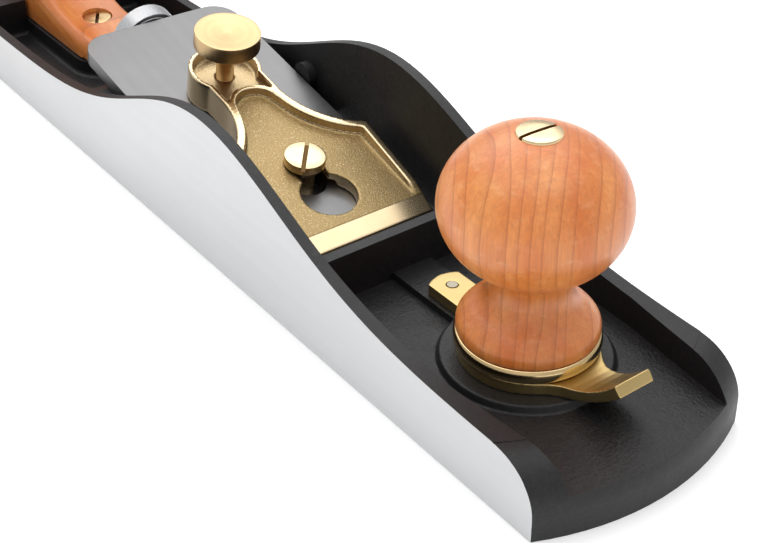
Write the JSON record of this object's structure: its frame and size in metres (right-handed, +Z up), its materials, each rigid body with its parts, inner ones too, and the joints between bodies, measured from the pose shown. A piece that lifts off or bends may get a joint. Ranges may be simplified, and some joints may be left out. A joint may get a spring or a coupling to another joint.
{
  "type": "hand plane",
  "caption": "Low-angle bench plane with an iron body, adjustable mouth, bevel-up blade, bronze lever cap, wooden front knob and rear handle.",
  "frame": {"origin": "on the sole at mid length and mid width", "axes": "+X to the toe, +Y to the left side seen from behind, +Z up from the sole"},
  "size_m": [0.3556, 0.0636, 0.0994],
  "materials": {
    "painted_casting": "black enamel inside and on the rims, sides and sole ground bright",
    "ground_iron": "ground satin",
    "brass": "turned and polished",
    "bronze": "cast field with polished rim",
    "bright_steel": "turned stainless steel",
    "blade_steel": "ground satin",
    "cherry": "oiled satin"
  },
  "bodies": {
    "casting": {"body_casting": "painted_casting", "lever_pivot_pin": "bright_steel", "adjuster_stud": "bright_steel", "lever_cap_screw": "brass", "rear_handle": "cherry", "handle_rod": "bright_steel", "handle_nut": "brass", "handle_toe_screw": "brass"},
    "mouth_lever": {"mouth_lever": "brass"},
    "mouth_slider": {"mouth_plate": "ground_iron", "knob_stud": "bright_steel"},
    "knob_lift": {"knob_ferrule": "brass"},
    "knob": {"front_knob": "cherry", "knob_nut": "brass"},
    "blade": {"blade": "blade_steel"},
    "adjuster": {"adjuster_wheel": "bright_steel"},
    "lever_cap": {"lever_cap": "bronze"},
    "thumb_lift": {"thumbwheel_stem": "brass"},
    "thumbwheel": {"cap_thumbwheel": "brass"}
  },
  "joints": [
    {"name": "mouth_lever_swing", "type": "hinge", "parent": "casting", "child": "mouth_lever", "pos_m": [0.1046, 0, 0.0135], "axis": [0, 0, 1], "range_deg": [-12, 12]},
    {"name": "mouth_slide", "type": "slide", "parent": "casting", "child": "mouth_slider", "axis": [1, 0, 0], "range_m": [-0.0018, 0.0018]},
    {"name": "knob_rise", "type": "slide", "parent": "mouth_slider", "child": "knob_lift", "axis": [0, 0, 1], "range_m": [0, 0.0007]},
    {"name": "knob_turn", "type": "hinge", "parent": "knob_lift", "child": "knob", "pos_m": [0.1323, 0, 0.04], "axis": [0, 0, 1], "range_deg": [0, 180]},
    {"name": "blade_slide", "type": "slide", "parent": "casting", "child": "blade", "axis": [-0.9781, 0, 0.2079], "range_m": [-0.0005, 0.003]},
    {"name": "adjuster_turn", "type": "hinge", "parent": "blade", "child": "adjuster", "pos_m": [-0.04899, 0, 0.02367], "axis": [-0.9781, 0, 0.2079], "range_deg": [-180, 1080]},
    {"name": "cap_slide", "type": "slide", "parent": "casting", "child": "lever_cap", "axis": [-0.9781, 0, 0.2079], "range_m": [0, 0.0125]},
    {"name": "thumb_rise", "type": "slide", "parent": "lever_cap", "child": "thumb_lift", "axis": [0.2079, 0, 0.9781], "range_m": [0, 0.001]},
    {"name": "thumb_turn", "type": "hinge", "parent": "thumb_lift", "child": "thumbwheel", "pos_m": [0.00135, 0, 0.0421], "axis": [0.2079, 0, 0.9781], "range_deg": [0, 360]}
  ],
  "couplings": [
    {"joint": "mouth_lever_swing", "follows": "mouth_slide", "rad_per_m": 116.36},
    {"joint": "knob_turn", "follows": "knob_rise", "rad_per_m": 4488},
    {"joint": "adjuster_turn", "follows": "blade_slide", "rad_per_m": 6283.2},
    {"joint": "thumb_turn", "follows": "thumb_rise", "rad_per_m": 6283.2}
  ]
}
